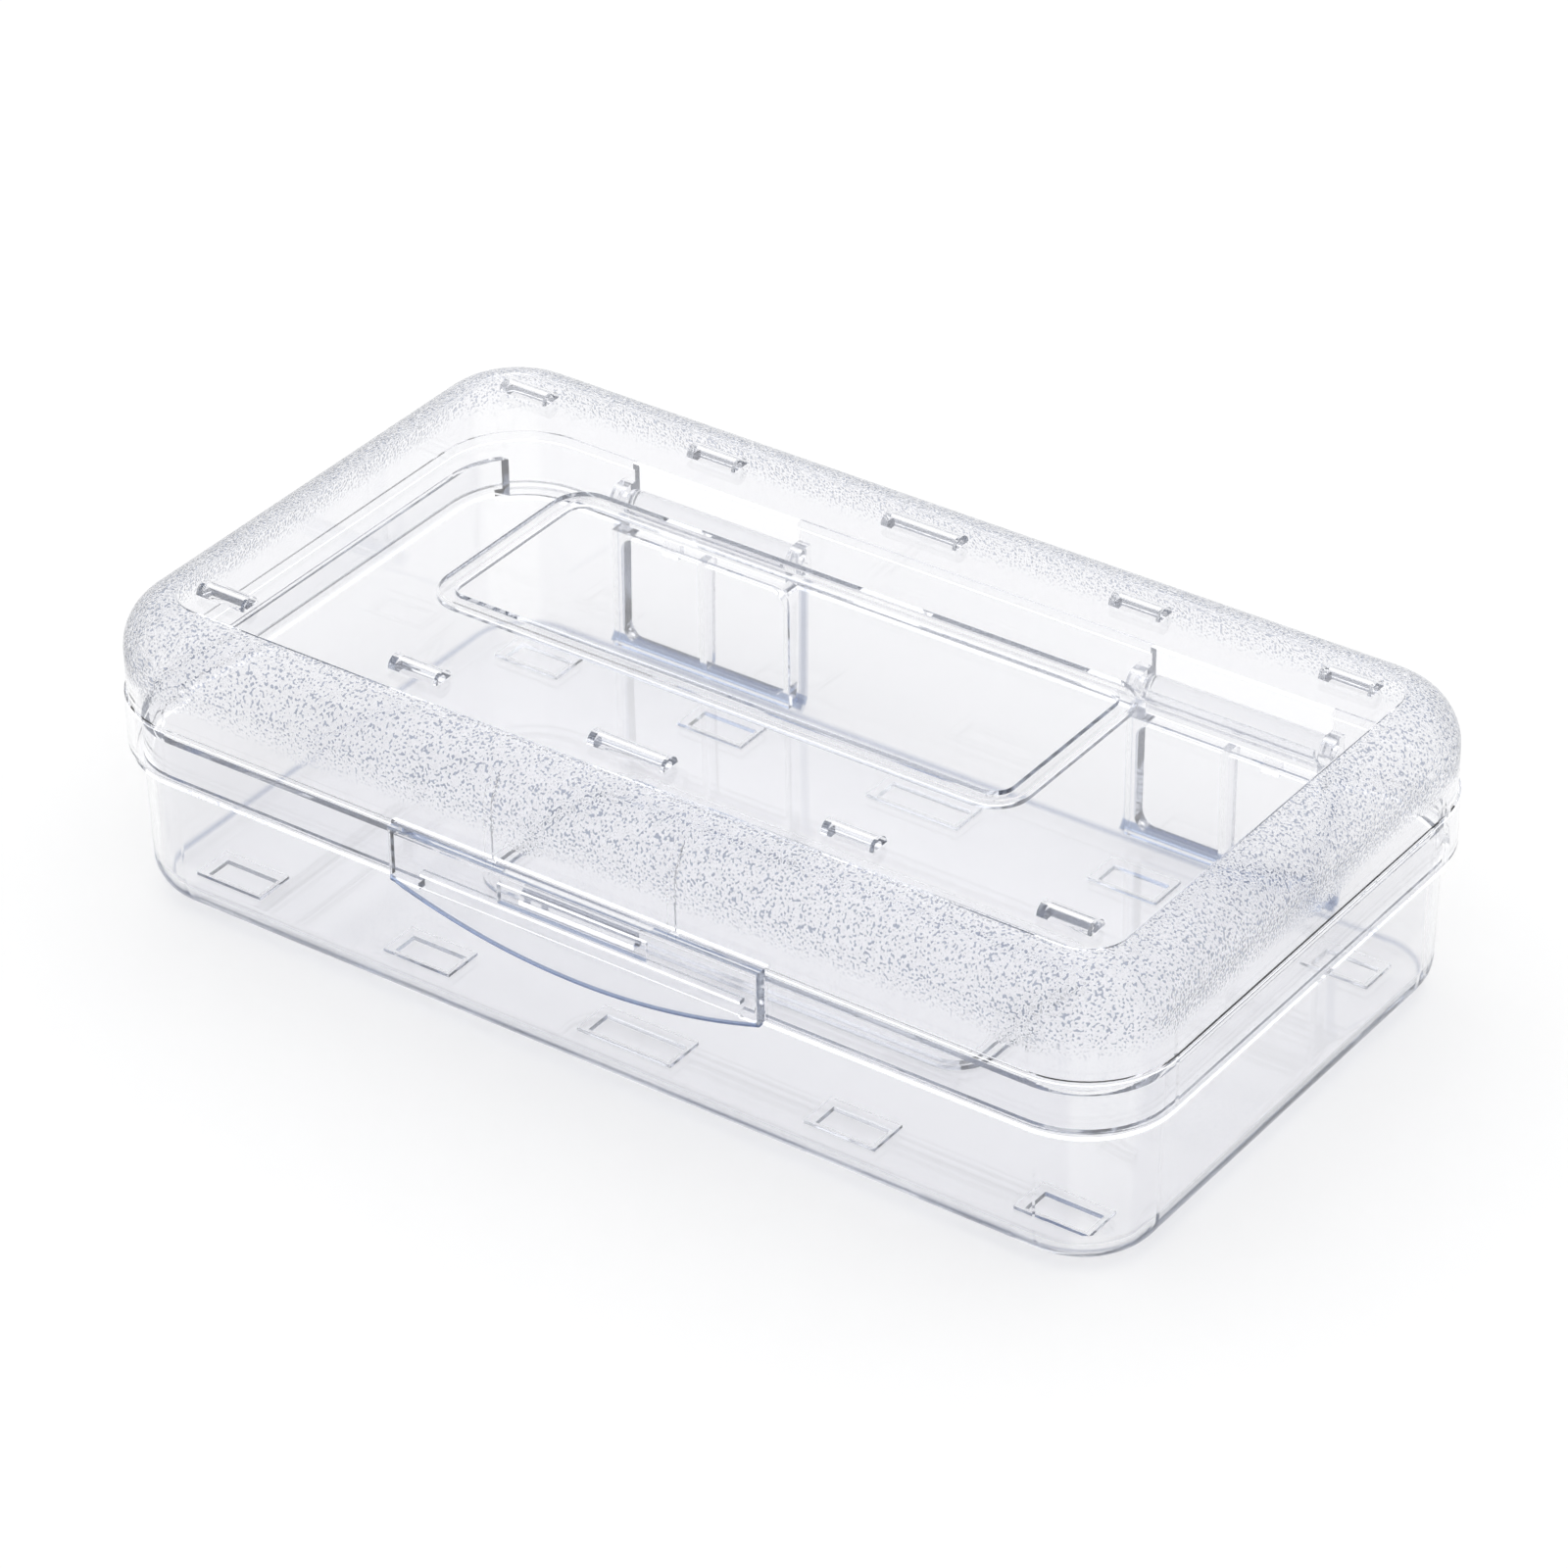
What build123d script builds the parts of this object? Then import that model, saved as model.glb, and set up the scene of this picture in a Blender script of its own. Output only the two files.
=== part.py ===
from build123d import *
from math import hypot, radians, tan
import os

# Clear moulded pencil box: a deep base tray, a hinged lid with a snap latch flap at the front, and
# two hinge rods at the back. Millimetres. +X runs along the length, +Y towards the hinge side and
# +Z up. The origin is the centre of the flat underside.

# Overall size, over the lid's skirt
length = 215.0
width = 119.8
corner = 18.0  # plan radius of the skirt's corners
panel_z = 59.4  # top panel of the closed lid

# Lid shell
skirt_wall = 1.4
skirt_bottom = 29.9
step_z = 40.6  # top of the skirt, where the lid's wall steps in
step_in = 0.4
lid_wall = 1.5
panel_wall = 1.6
panel_step = 0.25  # the flat panel stands this much above the rounded edge
lid_round = 10.0  # rounded edge between the top panel and the wall
skirt_edge_round = 0.8

# Base tray shell
side_gap = 1.2  # between the skirt's inner face and the tray's rim
base_wall = 1.4
base_draft = 1.2  # degrees
floor_wall = 1.8
foot_round = 7.0
wall_top = 28.5  # top of the drafted wall, where the upright rim begins
rim_top = 36.5
bead_in = 0.8  # bead's outer face, inside the skirt's outer face
bead_height = 1.4

# Hinges
hinge_in = 3.2  # from the skirt's outer face to the hinge axis
hinge_z = 33.6
swing_clear = 0.35  # between the tray and the lower edge of the skirt that swings over its back
hinge_centre = 56.55  # from the middle of the box to the middle of each hinge
rod_length = 36.5
rod_radius = 2.25
pin_radius = 1.1
pin_length = 1.9
end_play = 0.3  # between the rod's ends and the lid's ears
running_fit = 0.05  # radial, pins in the ears
seat_fit = 0.05  # radial, rod in its seat
seat_wall = 0.8
seat_web = 2.8  # thickness of the upright that carries the seat
seat_lip = 0.6  # how far the seat reaches above the rod's axis
seat_short = 0.9  # how far the seat stops short of the lid's ears
ear_radius = 2.9
ear_width = 2.5

# Recessed pocket under each hinge, split by an upright rib
pocket_depth = 3.2
pocket_bottom = 5.0
pocket_margin = 0.2  # pocket beyond each end of the rod
pocket_round = 3.0
pocket_rib = 1.6
nub_x = 8.3  # outwards of the hinge's middle
nub_size = (3.6, 1.6, 2.0)

# Latch flap on the front of the skirt, and the catch on the tray's rim
flap_length = 77.0
flap_wall = 2.0
flap_proud = 1.8
flap_side_z = 29.5  # where the straight ends meet the curved lower edge
flap_tip_z = 23.3
flap_gap = 0.3  # slit at the flap's ends and over its top
flap_lip = 3.1  # depth of the top lip that carries the flap under the lid's wall
flap_lip_height = 1.1
flap_thin = 0.5  # inner step of the finger grip below the skirt's edge line
flap_edge_round = 0.6
window_length = 31.0
window_bottom = 33.4
window_top = 37.3
window_depth = 1.0
catch_length = 24.0
catch_bottom = 33.7
catch_top = 36.3
catch_gap = 0.3  # between the catch's nose and the flap's inner face
catch_slope = 1.6
thumb_length = 66.8  # stretch where the bead gives way to a thin ledge higher up
thumb_ledge_z = 31.0
thumb_ledge_height = 0.8
thumb_ledge_proud = 1.3

# Stacking ribs on the lid, and the pockets that take them in the underside
rib_side_in = 16.8  # from the skirt's long sides to the ribs' centre lines
rib_end_in = 20.4  # from the skirt's ends to the middle of the last ribs
rib_between = 44.9  # from the middle of the box to the ribs on either side
rib_long = 15.8  # the two middle ribs
rib_short = 10.4  # the other eight
rib_radius = 2.1
rib_height = 1.9
rib_wall = 1.0  # the ribs are hollow from below
rib_pocket_play = 0.6
rib_pocket_depth = 0.9
rib_pad_wall = 1.4
rib_pad_height = 0.6

# Rounded rectangular channels pressed into the lid's panel and the tray's floor
channel_width = 3.6
channel_depth = 0.9
lid_channel = (59.2, 20.5, 5.0)  # half length, half width, corner radius of its centre line
floor_channel = (52.0, 19.0, 6.0)

# Stiffening gussets inside the lid's front wall, with a low rib running down from each
stiffener_x = 19.0
stiffener_wall = 1.6
stiffener_depth = 4.2
stiffener_knee = 50.5
stiffener_low = 0.4
stiffener_bottom = 38.0

# Places worked out from the sizes above
rim_in = skirt_wall + side_gap
foot_in = rim_in + wall_top * tan(radians(base_draft))
inner_in = rim_in + base_wall
lid_in = step_in + lid_wall
hinge_y = width / 2 - hinge_in
swing = skirt_edge_round + hypot(
    hinge_in - skirt_edge_round, hinge_z - skirt_bottom - skirt_edge_round
)
back_y = hinge_y - swing - swing_clear
back_top = hinge_z - swing - swing_clear
pocket_top = back_top - bead_height
rod_end = rod_length / 2
ear_inner = rod_end + end_play
front_y = -width / 2
front_rim_y = front_y + rim_in
flap_outer_y = front_y - flap_proud
flap_inner_y = flap_outer_y + flap_wall


def plan(inset):
    """Length, width and corner radius of the box's plan, inset from the skirt's outer face."""
    return length - 2 * inset, width - 2 * inset, corner - inset


def ring(line, half_width):
    """Adds a band along a rounded rectangle to the sketch being built."""
    half_x, half_y, radius = line
    outer, inner = half_width, -half_width
    RectangleRounded(2 * (half_x + outer), 2 * (half_y + outer), radius + outer)
    RectangleRounded(2 * (half_x + inner), 2 * (half_y + inner), radius + inner, mode=Mode.SUBTRACT)


def cut_block(low, high):
    """Removes the box between two corners from the part being built."""
    size = [b - a for a, b in zip(low, high)]
    with Locations(low):
        Box(*size, align=(Align.MIN, Align.MIN, Align.MIN), mode=Mode.SUBTRACT)


def add_block(low, high):
    """Adds the box between two corners to the part being built."""
    size = [b - a for a, b in zip(low, high)]
    with Locations(low):
        Box(*size, align=(Align.MIN, Align.MIN, Align.MIN))


def rib_places():
    """Centre x, y and length of each stacking rib."""
    rib_end = length / 2 - rib_end_in
    for x in (-rib_end, -rib_between, 0, rib_between, rib_end):
        for y in (rib_side_in - width / 2, width / 2 - rib_side_in):
            yield x, y, rib_long if x == 0 else rib_short


# Room inside the tray, cut out of it below
with BuildPart() as tray_room:
    floor_in = foot_in + base_wall - floor_wall * tan(radians(base_draft))
    with BuildSketch(Plane.XY.offset(floor_wall)):
        RectangleRounded(*plan(floor_in))
    extrude(amount=wall_top - floor_wall, taper=-base_draft)
    fillet(tray_room.faces().sort_by(Axis.Z)[0].edges(), foot_round - base_wall)

# Base tray: drafted shell with a rounded foot
with BuildPart() as base_tray:
    with BuildSketch():
        RectangleRounded(*plan(foot_in))
    extrude(amount=wall_top, taper=-base_draft)
    fillet(base_tray.faces().sort_by(Axis.Z)[0].edges(), foot_round)
    add(tray_room.part, mode=Mode.SUBTRACT)

    # Upright rim that slides inside the lid's skirt
    with BuildSketch(Plane.XY.offset(wall_top)):
        RectangleRounded(*plan(rim_in))
        RectangleRounded(*plan(inner_in), mode=Mode.SUBTRACT)
    extrude(amount=rim_top - wall_top)

    # Bead that the skirt's lower edge rests on, left out where the latch flap hangs down
    with BuildSketch(Plane.XY.offset(skirt_bottom - bead_height)):
        RectangleRounded(*plan(bead_in))
        RectangleRounded(*plan(rim_in + base_wall / 2), mode=Mode.SUBTRACT)
        with Locations((0, front_y)):
            Rectangle(thumb_length, 2 * (rim_in + base_wall), mode=Mode.SUBTRACT)
    extrude(amount=bead_height)

    # Back edge: rim and bead cut away, with a flange under the swinging skirt
    cut_block((-length / 2, back_y, back_top), (length / 2, width / 2, rim_top))
    with BuildSketch(Plane.XY.offset(back_top - bead_height)):
        RectangleRounded(*plan(bead_in))
        RectangleRounded(*plan(rim_in + base_wall / 2), mode=Mode.SUBTRACT)
        with Locations((0, back_y)):
            Rectangle(length, width, align=(Align.CENTER, Align.MAX), mode=Mode.SUBTRACT)
    extrude(amount=bead_height)

    # Front ledge above the thumb space, and the sloped catch over it
    add_block(
        (-thumb_length / 2, front_rim_y - thumb_ledge_proud, thumb_ledge_z),
        (thumb_length / 2, front_rim_y + base_wall / 2, thumb_ledge_z + thumb_ledge_height),
    )
    nose_y = flap_inner_y + catch_gap
    with BuildSketch(Plane.YZ.offset(-catch_length / 2)):
        with BuildLine():
            Polyline(
                (front_rim_y + base_wall / 2, catch_bottom),
                (nose_y, catch_bottom),
                (nose_y, catch_top - catch_slope),
                (front_rim_y, catch_top),
                (front_rim_y + base_wall / 2, catch_top),
                close=True,
            )
        make_face()
    extrude(amount=catch_length)

    # Pocket under each hinge: the wall steps in, and a rib splits the recess in two
    wall_y = width / 2 - rim_in
    pocket_y = wall_y - pocket_depth
    pocket_half = rod_end + pocket_margin
    for side in (-1, 1):
        middle = side * hinge_centre
        add_block(
            (middle - pocket_half - base_wall, pocket_y - base_wall, pocket_bottom - base_wall),
            (middle + pocket_half + base_wall, wall_y - base_wall / 2, back_top),
        )
        with BuildSketch(Plane.XZ.offset(-pocket_y)):
            with Locations((middle, (pocket_bottom + pocket_top) / 2)):
                RectangleRounded(2 * pocket_half, pocket_top - pocket_bottom, pocket_round)
                Rectangle(pocket_rib, pocket_top - pocket_bottom, mode=Mode.SUBTRACT)
        extrude(amount=-2 * pocket_depth, mode=Mode.SUBTRACT)
        nub_width, nub_depth, nub_height = nub_size
        nub_middle = middle + side * nub_x
        add_block(
            (nub_middle - nub_width / 2, wall_y - nub_depth, pocket_top - nub_height),
            (nub_middle + nub_width / 2, wall_y, pocket_top),
        )

    # Seat that holds each hinge rod from below, open at the top
    seat_half = ear_inner - seat_short
    for side in (-1, 1):
        with BuildSketch(Plane.YZ.offset(side * hinge_centre - seat_half)):
            with Locations((hinge_y, back_top - bead_height)):
                Rectangle(
                    seat_web, hinge_z - back_top + bead_height, align=(Align.CENTER, Align.MIN)
                )
            with Locations((hinge_y, hinge_z)):
                Circle(rod_radius + seat_fit + seat_wall)
                Circle(rod_radius + seat_fit, mode=Mode.SUBTRACT)
            with Locations((hinge_y, hinge_z + seat_lip)):
                Rectangle(
                    4 * rod_radius,
                    2 * rod_radius,
                    align=(Align.CENTER, Align.MIN),
                    mode=Mode.SUBTRACT,
                )
        extrude(amount=2 * seat_half)

    # Floor: pads over the stacking pockets, and the pressed channel
    for x, y, rib_length in rib_places():
        pocket_x = rib_length + 2 * rib_pocket_play
        pocket_w = 2 * (rib_radius + rib_pocket_play)
        with Locations((x, y, floor_wall)):
            Box(
                pocket_x + 2 * rib_pad_wall,
                pocket_w + 2 * rib_pad_wall,
                rib_pad_height,
                align=(Align.CENTER, Align.CENTER, Align.MIN),
            )
        with Locations((x, y, 0)):
            Box(
                pocket_x,
                pocket_w,
                rib_pocket_depth,
                align=(Align.CENTER, Align.CENTER, Align.MIN),
                mode=Mode.SUBTRACT,
            )
    with BuildSketch(Plane.XY.offset(floor_wall)):
        ring(floor_channel, channel_width / 2)
    extrude(amount=channel_depth)
    with BuildSketch():
        ring(floor_channel, channel_width / 2 - channel_depth)
    extrude(amount=channel_depth, mode=Mode.SUBTRACT)


# Room inside the lid: narrower above the step than within the skirt
with BuildPart() as lid_room:
    shelf_z = step_z - skirt_wall
    with BuildSketch(Plane.XY.offset(shelf_z)):
        RectangleRounded(*plan(lid_in))
    extrude(amount=panel_z - panel_wall - shelf_z)
    fillet(lid_room.faces().sort_by(Axis.Z)[-1].edges(), lid_round - lid_wall)
    with BuildSketch(Plane.XY.offset(skirt_bottom)):
        RectangleRounded(*plan(skirt_wall))
    extrude(amount=shelf_z - skirt_bottom)
    # Gussets behind the front wall, kept solid
    for side in (-1, 1):
        inner_y = front_y + lid_in
        with BuildSketch(Plane.YZ.offset(side * stiffener_x - stiffener_wall / 2)):
            with BuildLine():
                Polyline(
                    (front_y, stiffener_bottom),
                    (inner_y + stiffener_low, stiffener_bottom),
                    (inner_y + stiffener_low, stiffener_knee),
                    (inner_y + stiffener_depth, panel_z - panel_wall),
                    (front_y, panel_z),
                    close=True,
                )
            make_face()
        extrude(amount=stiffener_wall, mode=Mode.SUBTRACT)

# Lid: skirt, wall and panel
with BuildPart() as lid:
    with BuildSketch(Plane.XY.offset(step_z)):
        RectangleRounded(*plan(step_in))
    extrude(amount=panel_z - panel_step - step_z)
    fillet(lid.faces().sort_by(Axis.Z)[-1].edges(), lid_round)
    with BuildSketch(Plane.XY.offset(panel_z - 2 * panel_step)):
        RectangleRounded(*plan(step_in + lid_round - panel_step))
    extrude(amount=2 * panel_step)
    with BuildSketch(Plane.XY.offset(skirt_bottom)):
        RectangleRounded(*plan(0))
    extrude(amount=step_z - skirt_bottom)
    fillet(lid.faces().sort_by(Axis.Z)[0].edges(), skirt_edge_round)
    add(lid_room.part, mode=Mode.SUBTRACT)

    # Slot for the latch flap
    slot_half = flap_length / 2 + flap_gap
    cut_block(
        (-slot_half, front_y - 1, skirt_bottom),
        (slot_half, front_y + lid_in, step_z),
    )

    # Hinge ears on the ends of the skirt's two gaps
    for side in (-1, 1):
        middle = side * hinge_centre
        cut_block(
            (middle - ear_inner, width / 2 - lid_in, skirt_bottom),
            (middle + ear_inner, width / 2, step_z),
        )
        for end in (-1, 1):
            start = middle + end * ear_inner + min(end, 0) * ear_width
            with BuildSketch(Plane.YZ.offset(start)):
                with Locations((hinge_y, hinge_z)):
                    Circle(ear_radius)
                    Rectangle(
                        width / 2 - skirt_wall / 2 - hinge_y,
                        2 * ear_radius,
                        align=(Align.MIN, Align.CENTER),
                    )
                    Circle(pin_radius + running_fit, mode=Mode.SUBTRACT)
            extrude(amount=ear_width)

    # Stacking ribs, half round, with flat ends
    for x, y, rib_length in rib_places():
        with BuildSketch(Plane.YZ.offset(x - rib_length / 2)):
            with Locations((y, panel_z + rib_height - rib_radius)):
                Circle(rib_radius)
            with Locations((y, panel_z - panel_wall / 2)):
                Rectangle(
                    2 * rib_radius,
                    2 * rib_radius,
                    align=(Align.CENTER, Align.MAX),
                    mode=Mode.SUBTRACT,
                )
        extrude(amount=rib_length)
        hollow = rib_radius - rib_wall
        with BuildSketch(Plane.YZ.offset(x - rib_length / 2 + rib_wall)):
            with Locations((y, panel_z + rib_height - rib_radius)):
                Circle(hollow)
                Rectangle(2 * hollow, 2 * panel_wall, align=(Align.CENTER, Align.MAX))
        extrude(amount=rib_length - 2 * rib_wall, mode=Mode.SUBTRACT)

    # Pressed channel: a groove in the panel's top with a ridge under it
    with BuildSketch(Plane.XY.offset(panel_z - panel_wall)):
        ring(lid_channel, channel_width / 2)
    extrude(amount=-channel_depth)
    with BuildSketch(Plane.XY.offset(panel_z)):
        ring(lid_channel, channel_width / 2 - channel_depth / 2)
    extrude(amount=-channel_depth, mode=Mode.SUBTRACT)


# Latch flap: a springy tab with a curved lower edge and a window that takes the catch
with BuildPart() as latch_flap:
    flap_top = step_z - flap_gap
    flap_half = flap_length / 2
    with BuildSketch(Plane.XZ.offset(-flap_inner_y)):
        with BuildLine():
            Polyline(
                (-flap_half, flap_side_z),
                (-flap_half, flap_top),
                (flap_half, flap_top),
                (flap_half, flap_side_z),
            )
            ThreePointArc((flap_half, flap_side_z), (0, flap_tip_z), (-flap_half, flap_side_z))
        make_face()
    extrude(amount=flap_wall)
    fillet(latch_flap.faces().sort_by(Axis.Y)[0].edges(), flap_edge_round)
    add_block(
        (-flap_half, flap_inner_y - flap_wall / 2, flap_top - flap_lip_height),
        (flap_half, flap_outer_y + flap_lip, flap_top),
    )
    cut_block(
        (-flap_half, flap_inner_y - flap_thin, flap_tip_z),
        (flap_half, flap_inner_y, skirt_bottom),
    )
    cut_block(
        (-window_length / 2, flap_inner_y - window_depth, window_bottom),
        (window_length / 2, flap_inner_y, window_top),
    )


def hinge_rod(side):
    """Round rod with a thinner pivot pin at each end."""
    middle = side * hinge_centre
    with BuildPart() as rod:
        with BuildSketch(Plane.YZ.offset(middle - rod_end)):
            with Locations((hinge_y, hinge_z)):
                Circle(rod_radius)
        extrude(amount=rod_length)
        fillet(rod.edges(), rod_radius / 5)
        with BuildSketch(Plane.YZ.offset(middle - rod_end - pin_length)):
            with Locations((hinge_y, hinge_z)):
                Circle(pin_radius)
        extrude(amount=rod_length + 2 * pin_length)
    return rod.part


os.makedirs("parts", exist_ok=True)
base_tray.part.label = "base_tray"
lid.part.label = "lid"
latch_flap.part.label = "latch_flap"
left_rod = hinge_rod(-1)
left_rod.label = "hinge_rod_left"
right_rod = hinge_rod(1)
right_rod.label = "hinge_rod_right"
for piece in (base_tray.part, lid.part, latch_flap.part, left_rod, right_rod):
    export_step(piece, "parts/" + piece.label + ".step")
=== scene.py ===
"""Clear pencil box with a hinged lid: plastics, stage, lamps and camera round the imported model."""
from math import radians

import bpy
import numpy as np
from mathutils import Matrix, Vector


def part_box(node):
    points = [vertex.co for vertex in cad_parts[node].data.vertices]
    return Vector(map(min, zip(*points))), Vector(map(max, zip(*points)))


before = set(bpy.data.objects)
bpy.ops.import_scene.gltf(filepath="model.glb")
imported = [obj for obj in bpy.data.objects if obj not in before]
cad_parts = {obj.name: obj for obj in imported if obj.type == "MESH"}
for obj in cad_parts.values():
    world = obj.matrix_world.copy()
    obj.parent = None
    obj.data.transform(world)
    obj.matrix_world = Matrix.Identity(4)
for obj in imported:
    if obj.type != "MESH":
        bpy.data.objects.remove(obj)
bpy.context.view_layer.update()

scene = bpy.context.scene
MM = 0.001

# Sizes that the finishes follow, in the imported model's own frame
lid_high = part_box("lid")[1]
STEP_IN = 0.4 * MM  # the lid's upper wall stands in from its skirt
HALF_X, HALF_Y = lid_high.x - STEP_IN, lid_high.y - STEP_IN
CORNER_ROUND = 17.6 * MM  # plan radius of the lid's upright corners
EDGE_ROUND = 10.0 * MM  # radius of the lid's rounded top edge
RIB_HEIGHT = 1.9 * MM
PANEL_STEP = 0.25 * MM
EDGE_CENTRE = lid_high.z - RIB_HEIGHT - PANEL_STEP - EDGE_ROUND
FOOT_IN = 3.2 * MM  # the tray's foot stands in from the skirt
FOOT_SHADE_BAND = (3.4 * MM, 2.4 * MM)  # in from the foot's outline: the painted shade line starts and is full
FOOT_SHADE_LEVEL = (2.4 * MM, 1.2 * MM)  # and the same by height
RECESS_X, RECESS_HALF = 56.55 * MM, 20.35 * MM  # middle and half length of the recess under each hinge
RECESS_DEEP, RECESS_LOW = 54.0 * MM, 5.0 * MM  # its back face and its lower edge
RECESS_BACK = (RECESS_DEEP - 0.4 * MM, RECESS_DEEP)  # the painted shade on the ledge starts and is full, along y,
RECESS_PAST = (RECESS_HALF + 1.6 * MM, RECESS_HALF + 1.2 * MM)  # outwards along x,
RECESS_END = (RECESS_HALF - 0.3 * MM, RECESS_HALF - 0.1 * MM)  # at the recess's ends,
LEDGE_UNDER = (RECESS_LOW - 1.8 * MM, RECESS_LOW - 1.5 * MM)  # upwards from below,
LEDGE_OVER = (RECESS_LOW + 0.3 * MM, RECESS_LOW + 0.1 * MM)  # and downwards from above
RECESS_END_SHARE = 0.5  # the ends get half the painted shade of the ledge
FLAP_ARC = 122.6 * MM  # radius of the flap's curved lower edge
FLAP_TIP = 23.3 * MM  # height of its lowest point
FLAP_SHADE_LINE = (FLAP_ARC - 0.8 * MM, FLAP_ARC - 0.5 * MM)  # where the painted shade line on the edge starts and is full


def linear(code):
    """sRGB hex to linear RGBA: each channel below 0.04045 is divided by 12.92, the rest follow the 2.4 power."""
    parts = np.array([int(code[i:i + 2], 16) for i in (1, 3, 5)]) / 255
    low, high = parts / 12.92, ((parts + 0.055) / 1.055) ** 2.4
    return (*np.where(parts <= 0.04045, low, high).tolist(), 1.0)


def add(tree, kind, inputs=(), result=0, **settings):
    """Adds one node and gives one of its outputs, by number or name. The inputs, by number or name, come from other
    outputs or are plain values; the settings are the node's own properties."""
    made = tree.nodes.new(kind)
    for name, value in settings.items():
        setattr(made, name, value)
    for name, source in dict(inputs).items():
        if isinstance(source, bpy.types.NodeSocket):
            tree.links.new(source, made.inputs[name])
        else:
            made.inputs[name].default_value = source
    return made.outputs[result] if made.outputs else made


def new_material(name):
    """An empty node material with its output."""
    material = bpy.data.materials.new(name)
    material.use_nodes = True
    tree = material.node_tree
    tree.nodes.clear()
    return material, tree, tree.nodes.new("ShaderNodeOutputMaterial")


# Clear moulded polypropylene. The eye sees a nearly white sheet with a faint grey tone, a gloss, slate lines of
# painted shade where it looks along a wall, a painted highlight down the upright corners, painted shade in the
# grain's dips, and a slight waviness from the mould.

CLEAR_TONE = "#FAFAFB"
# painted highlight: a whiter tone down each upright corner
PAINTED_CORNER_HIGHLIGHT_TONE = "#FFFFFF"
BAND_TONE = "#FAFAFC"  # the milky band under the grain
PAINTED_SLATE_SHADE_TONE = "#5C709A"  # painted shade: slate lines where the eye looks along the plastic
DEPTH_TONE = "#99A3B6"  # what a long way through the plastic turns white light into
DEPTH_DENSITY = 13.0  # per metre
SHADOW_TONE = "#FCFCFD"  # what each face lets through to what it shades
PLASTIC_IOR = 1.49
GLOSS_ROUGHNESS = 0.02
WAVE_LENGTH = 30 * MM
WAVE_HEIGHT = 0.02 * MM
PEBBLE = 0.5 * MM  # across one pebble of the grain
PEBBLE_HEIGHT = 0.06 * MM
PEBBLE_ROUGHNESS = 0.10
# painted shade: a darker tone in the dips of the grain
PEBBLE_DIP_SHADE_TONE = "#848DA3"
PEBBLE_LEVEL = (43.5 * MM, 49 * MM)  # the grain fades out down the wall
PEBBLE_SKIN = (EDGE_ROUND - 0.6 * MM, EDGE_ROUND - 0.4 * MM)  # between the lid's inner and outer faces
PEBBLE_REACH = (0.0, 0.4 * MM)  # the grain starts at the panel's outline
PEBBLE_RISE = (0.36, 0.62)  # levels of the noise between a dip and a pebble's top
PEBBLE_DIP = (0.40, 0.34)  # levels of the noise between plain and a dip of full painted shade
CORNER_HIGHLIGHT_SHARE = (0.33, 0.42)  # share of x times share of y for the painted highlight: 0.5 in the middle of a corner
MATH, VECTOR = "ShaderNodeMath", "ShaderNodeVectorMath"


def soft_mask(tree, *edges):
    """1 where every value has passed its end and 0 where one is before its start. Between the two a value's share
    t of the way gives 3t^2 - 2t^3, and the shares of all the values are multiplied."""
    mask = None
    for value, start, end in edges:
        step = add(tree, "ShaderNodeMapRange", {"Value": value, "From Min": start, "From Max": end}, "Result",
                   interpolation_type="SMOOTHSTEP")
        mask = step if mask is None else add(tree, MATH, {0: mask, 1: step}, operation="MULTIPLY")
    return mask


def past_centres(tree, place, half_x, half_y, corner):
    """How far a place lies past the corner centres of a rounded outline, in x and in y and never below 0, and the
    length of that way."""
    size = add(tree, VECTOR, {0: place}, operation="ABSOLUTE")
    past = add(tree, VECTOR, {0: size, 1: (half_x - corner, half_y - corner, 1.0)}, operation="SUBTRACT")
    past = add(tree, VECTOR, {0: past, 1: (0, 0, 0)}, operation="MAXIMUM")
    return past, add(tree, VECTOR, {0: past}, "Value", operation="LENGTH")


def pebbles(tree, place, level):
    """The band that carries the pebble grain, 0 to 1, and the grain itself.

    The distance out from the flat panel's rounded outline is the length of the place past the outline's corner
    centres, less the outline's corner radius. With the height above the edge's centre line it gives the radius
    round that line, which tells the outer face from the inner one."""
    length = past_centres(tree, place, HALF_X, HALF_Y, CORNER_ROUND)[1]
    reach = add(tree, MATH, {0: length, 1: CORNER_ROUND - EDGE_ROUND}, operation="SUBTRACT")
    above = add(tree, MATH, {0: level, 1: EDGE_CENTRE}, operation="SUBTRACT")
    above = add(tree, MATH, {0: above, 1: 0.0}, operation="MAXIMUM")
    turn = add(tree, "ShaderNodeCombineXYZ", {0: reach, 1: above})
    radius = add(tree, VECTOR, {0: turn}, "Value", operation="LENGTH")
    band = soft_mask(tree, (radius, *PEBBLE_SKIN), (reach, *PEBBLE_REACH), (level, *PEBBLE_LEVEL))
    return band, add(tree, "ShaderNodeTexNoise", {"Vector": place, "Scale": 1 / PEBBLE, "Detail": 0.0})


def painted_corner_highlight(tree, place):
    """Mask of a painted highlight: 1 along a band down each upright corner, from the share of x and of y in the way
    past its centre.
    """
    past, length = past_centres(tree, place, HALF_X, HALF_Y, CORNER_ROUND)
    length = add(tree, MATH, {0: length, 1: 1 * MM}, operation="MAXIMUM")
    scaled = add(tree, VECTOR, {0: past, 1: length}, operation="DIVIDE")
    parts = [add(tree, "ShaderNodeSeparateXYZ", {0: scaled}, axis) for axis in "XY"]
    both = add(tree, MATH, {0: parts[0], 1: parts[1]}, operation="MULTIPLY")
    return soft_mask(tree, (both, *CORNER_HIGHLIGHT_SHARE))


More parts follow.
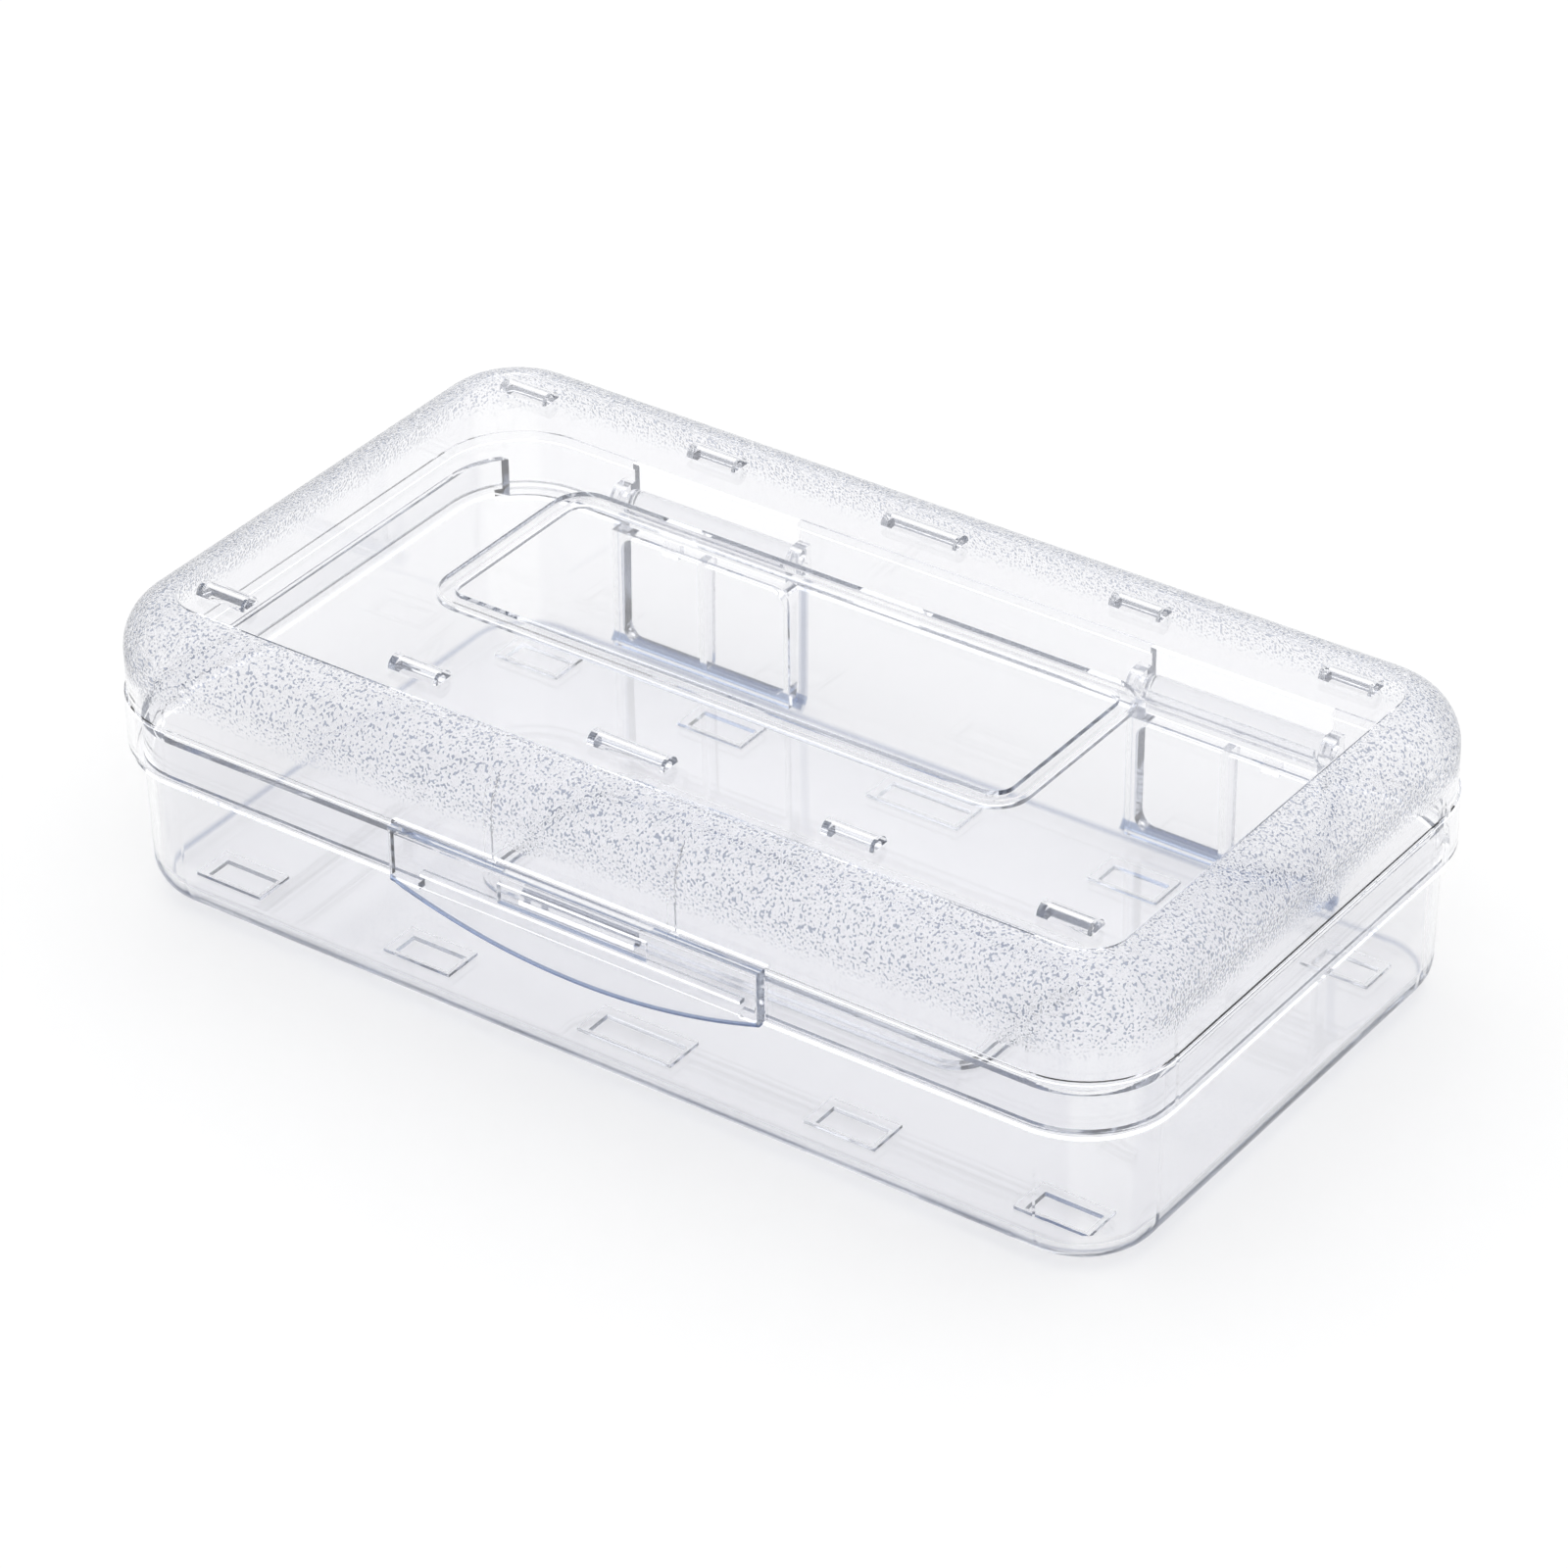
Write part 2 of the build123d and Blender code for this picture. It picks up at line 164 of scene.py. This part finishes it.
def painted_slate_shade(tree, place, level):
    """Mask of painted shade: 1 along the tray's rounded foot and on the ledge under each hinge, where the eye looks
    along the plastic.
    """
    foot_round = CORNER_ROUND - FOOT_IN
    length = past_centres(tree, place, HALF_X + STEP_IN - FOOT_IN, HALF_Y + STEP_IN - FOOT_IN, foot_round)[1]
    foot = soft_mask(tree, (length, *(foot_round - inwards for inwards in FOOT_SHADE_BAND)), (level, *FOOT_SHADE_LEVEL))
    size = add(tree, VECTOR, {0: place}, operation="ABSOLUTE")
    side = add(tree, "ShaderNodeSeparateXYZ", {0: size}, "X")
    back = add(tree, "ShaderNodeSeparateXYZ", {0: place}, "Y")
    along = add(tree, MATH, {0: side, 1: RECESS_X}, operation="SUBTRACT")
    along = add(tree, MATH, {0: along}, operation="ABSOLUTE")
    recess = (along, *RECESS_PAST), (back, *RECESS_BACK)
    ledge = soft_mask(tree, *recess, (level, *LEDGE_UNDER), (level, *LEDGE_OVER))
    ends = soft_mask(tree, *recess, (along, *RECESS_END))
    ends = add(tree, MATH, {0: ends, 1: RECESS_END_SHARE}, operation="MULTIPLY")
    ledge = add(tree, MATH, {0: ledge, 1: ends}, operation="MAXIMUM")
    return add(tree, MATH, {0: foot, 1: ledge}, operation="MAXIMUM")


def painted_flap_edge_shade(tree, place):
    """Mask of a painted shade line: 1 along the flap's curved lower edge: the distance from the arc's centre in x and
    z nears its radius.
    """
    way = add(tree, VECTOR, {0: place, 1: (0.0, 0.0, FLAP_TIP + FLAP_ARC)}, operation="SUBTRACT")
    way = add(tree, VECTOR, {0: way, 1: (1, 0, 1)}, operation="MULTIPLY")
    length = add(tree, VECTOR, {0: way}, "Value", operation="LENGTH")
    return soft_mask(tree, (length, *FLAP_SHADE_LINE))


def clear_plastic(name, part):
    """Clear moulded polypropylene for the "lid", the "flap", the "tray" or a "rod"."""
    material, tree, out = new_material(name)
    place = add(tree, "ShaderNodeTexCoord", result="Object")
    level = add(tree, "ShaderNodeSeparateXYZ", {0: place}, "Z")
    waves = add(tree, "ShaderNodeTexNoise", {"Vector": place, "Scale": 1 / WAVE_LENGTH, "Detail": 0.0})
    normal = add(tree, "ShaderNodeBump", {"Height": waves, "Strength": 1.0, "Distance": WAVE_HEIGHT})
    roughness = GLOSS_ROUGHNESS
    # painted highlight: a whiter tone down each upright corner of the lid and the tray
    layers = [(painted_corner_highlight(tree, place), PAINTED_CORNER_HIGHLIGHT_TONE)] if part in ("lid", "tray") else []
    # painted shade: slate lines along the tray's foot and on the ledge under each hinge
    if part == "tray":
        layers.append((painted_slate_shade(tree, place, level), PAINTED_SLATE_SHADE_TONE))
    # painted shade: a thin slate line along the flap's curved edge
    if part == "flap":
        layers.append((painted_flap_edge_shade(tree, place), PAINTED_SLATE_SHADE_TONE))
    if part == "lid":
        band, grain = pebbles(tree, place, level)
        height = soft_mask(tree, (grain, *PEBBLE_RISE))
        height = add(tree, MATH, {0: height, 1: band}, operation="MULTIPLY")
        normal = add(tree, "ShaderNodeBump",
                     {"Height": height, "Normal": normal, "Strength": 1.0, "Distance": PEBBLE_HEIGHT})
        roughness = add(tree, "ShaderNodeMapRange",
                        {"Value": band, "To Min": GLOSS_ROUGHNESS, "To Max": PEBBLE_ROUGHNESS}, "Result")
        # painted shade: a darker tone in the dips of the grain
        dip_shade = soft_mask(tree, (grain, *PEBBLE_DIP))
        dip_shade = add(tree, MATH, {0: dip_shade, 1: band}, operation="MULTIPLY")
        layers += [(band, BAND_TONE), (dip_shade, PEBBLE_DIP_SHADE_TONE)]
    tone = linear(CLEAR_TONE)
    for share, over in layers:
        tone = add(tree, "ShaderNodeMix", {0: share, 6: tone, 7: linear(over)}, 2, data_type="RGBA")
    shader = add(tree, "ShaderNodeBsdfPrincipled", {
        "Base Color": tone, "Roughness": roughness, "IOR": PLASTIC_IOR, "Transmission Weight": 1.0,
        "Normal": normal})
    # Lamps reach what is inside, as they do through a thin clear wall
    shaded = add(tree, "ShaderNodeLightPath", result="Is Shadow Ray")
    lets = add(tree, "ShaderNodeBsdfTransparent", {"Color": linear(SHADOW_TONE)})
    tree.links.new(add(tree, "ShaderNodeMixShader", {0: shaded, 1: shader, 2: lets}), out.inputs["Surface"])
    depths = add(tree, "ShaderNodeVolumeAbsorption", {"Color": linear(DEPTH_TONE), "Density": DEPTH_DENSITY})
    tree.links.new(depths, out.inputs["Volume"])
    return material


def dress(names, material):
    """Gives every slot of these nodes the material."""
    for name in names:
        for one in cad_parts[name].material_slots:
            one.material = material


# Injection-moulded in a polished mould: glossy and clear, with a painted highlight down the corners and painted shade
# as slate lines at the foot and under the hinges
dress(["base_tray"], clear_plastic("clear_moulded_polypropylene", "tray"))
# Moulded with an etched band round the rounded edge: the band sparkles and turns milky, with painted shade in its
# dips; the corners carry a painted highlight, and the rest is clear
dress(["lid"], clear_plastic("pebbled_clear_polypropylene", "lid"))
# The same moulding as the lid, polished: its curved edge carries one thin slate line of painted shade
dress(["latch_flap"], clear_plastic("clear_polypropylene_flap", "flap"))
# Solid moulded rods: they bend what is behind them like a lens
dress(["hinge_rod_left", "hinge_rod_right"], clear_plastic("solid_clear_polypropylene", "rod"))

# Stage: a plain pale floor, a white world and a soft lamp

FLOOR_HALF = 3.0
FLOOR_GAP = 0.2 * MM  # keeps the floor off the underside
FLOOR_TONE = "#EEEEEE"
FLOOR_LIFT = 0.18  # brings the lit floor up to white
ROOM_LIGHT = 0.63
LAMP_TOWARD = (-0.25, 0.35, 1.0)
LAMP_STRENGTH = 1.3
LAMP_SPREAD = radians(110)
BOUNCES = 160
WHITE = "#FFFFFF"


def white_to_eye(tree):
    """1 for rays from the camera, off a gloss or through clear plastic."""
    seen = 0.0
    for ray in ("Is Camera Ray", "Is Glossy Ray", "Is Transmission Ray"):
        path = add(tree, "ShaderNodeLightPath", result=ray)
        seen = add(tree, MATH, {0: path, 1: seen}, operation="MAXIMUM")
    return seen


def stage_floor():
    """A pale floor that looks white and keeps the box's shadow."""
    mesh = bpy.data.meshes.new("floor")
    corners = np.array([(-1, -1, 0), (1, -1, 0), (1, 1, 0), (-1, 1, 0)]) * FLOOR_HALF
    mesh.from_pydata((corners - (0, 0, FLOOR_GAP)).tolist(), [], [(0, 1, 2, 3)])
    floor = bpy.data.objects.new("floor", mesh)
    scene.collection.objects.link(floor)
    material, tree, out = new_material("pale_floor")
    matt = add(tree, "ShaderNodeBsdfDiffuse", {"Color": linear(FLOOR_TONE)})
    strength = add(tree, MATH, {0: white_to_eye(tree), 1: FLOOR_LIFT}, operation="MULTIPLY")
    lift = add(tree, "ShaderNodeEmission", {"Strength": strength})
    tree.links.new(add(tree, "ShaderNodeAddShader", {0: matt, 1: lift}), out.inputs["Surface"])
    mesh.materials.append(material)


def soft_lamp(name, toward, strength, spread):
    """A wide, far lamp that lights every place alike, from a direction."""
    data = bpy.data.lights.new(name, "SUN")
    data.energy, data.angle = strength, spread
    lamp = bpy.data.objects.new(name, data)
    scene.collection.objects.link(lamp)
    lamp.rotation_euler = Vector(toward).to_track_quat("Z", "Y").to_euler()
    lamp.visible_glossy = False  # a soft lamp has no sharp edge to see in the panel


def white_world():
    """A white room: white behind everything the camera sees, and a softer white as light."""
    world = bpy.data.worlds.new("white_room")
    scene.world = world
    world.use_nodes = True
    tree = world.node_tree
    tree.nodes.clear()
    light, white = (add(tree, "ShaderNodeBackground", {"Color": linear(WHITE), "Strength": strength})
                    for strength in (ROOM_LIGHT, 1.0))
    both = add(tree, "ShaderNodeMixShader", {0: white_to_eye(tree), 1: light, 2: white})
    add(tree, "ShaderNodeOutputWorld", {"Surface": both})


stage_floor()
soft_lamp("soft_lamp_above", LAMP_TOWARD, LAMP_STRENGTH, LAMP_SPREAD)
white_world()
scene.view_settings.view_transform = "Standard"
# Light goes a long way inside a clear panel before it leaves by an edge
scene.cycles.max_bounces = scene.cycles.transmission_bounces = scene.cycles.glossy_bounces = BOUNCES

LENS, SENSOR = 148.0, 36.0  # millimetres
CAMERA_PLACE, CAMERA_AIM = Vector((0.5471, -0.7592, 0.6406)), Vector((0.0, 0.0, 0.030))
CAMERA_ACROSS = Vector((0.7937, 0.6074, -0.0343))  # the photograph's horizontal, slightly rolled


def camera():
    """A long lens at the photograph's viewing angle, aimed at the middle of the box."""
    data = bpy.data.cameras.new("camera")
    data.sensor_width, data.lens = SENSOR, LENS
    data.clip_start, data.clip_end = 0.01, 20.0
    eye = bpy.data.objects.new("camera", data)
    scene.collection.objects.link(eye)
    forward = (CAMERA_AIM - CAMERA_PLACE).normalized()
    up = CAMERA_ACROSS.cross(forward).normalized()
    right = forward.cross(up)
    turn = Matrix((right, up, -forward)).transposed().to_4x4()
    eye.matrix_world = Matrix.Translation(CAMERA_PLACE) @ turn
    scene.camera = eye


camera()
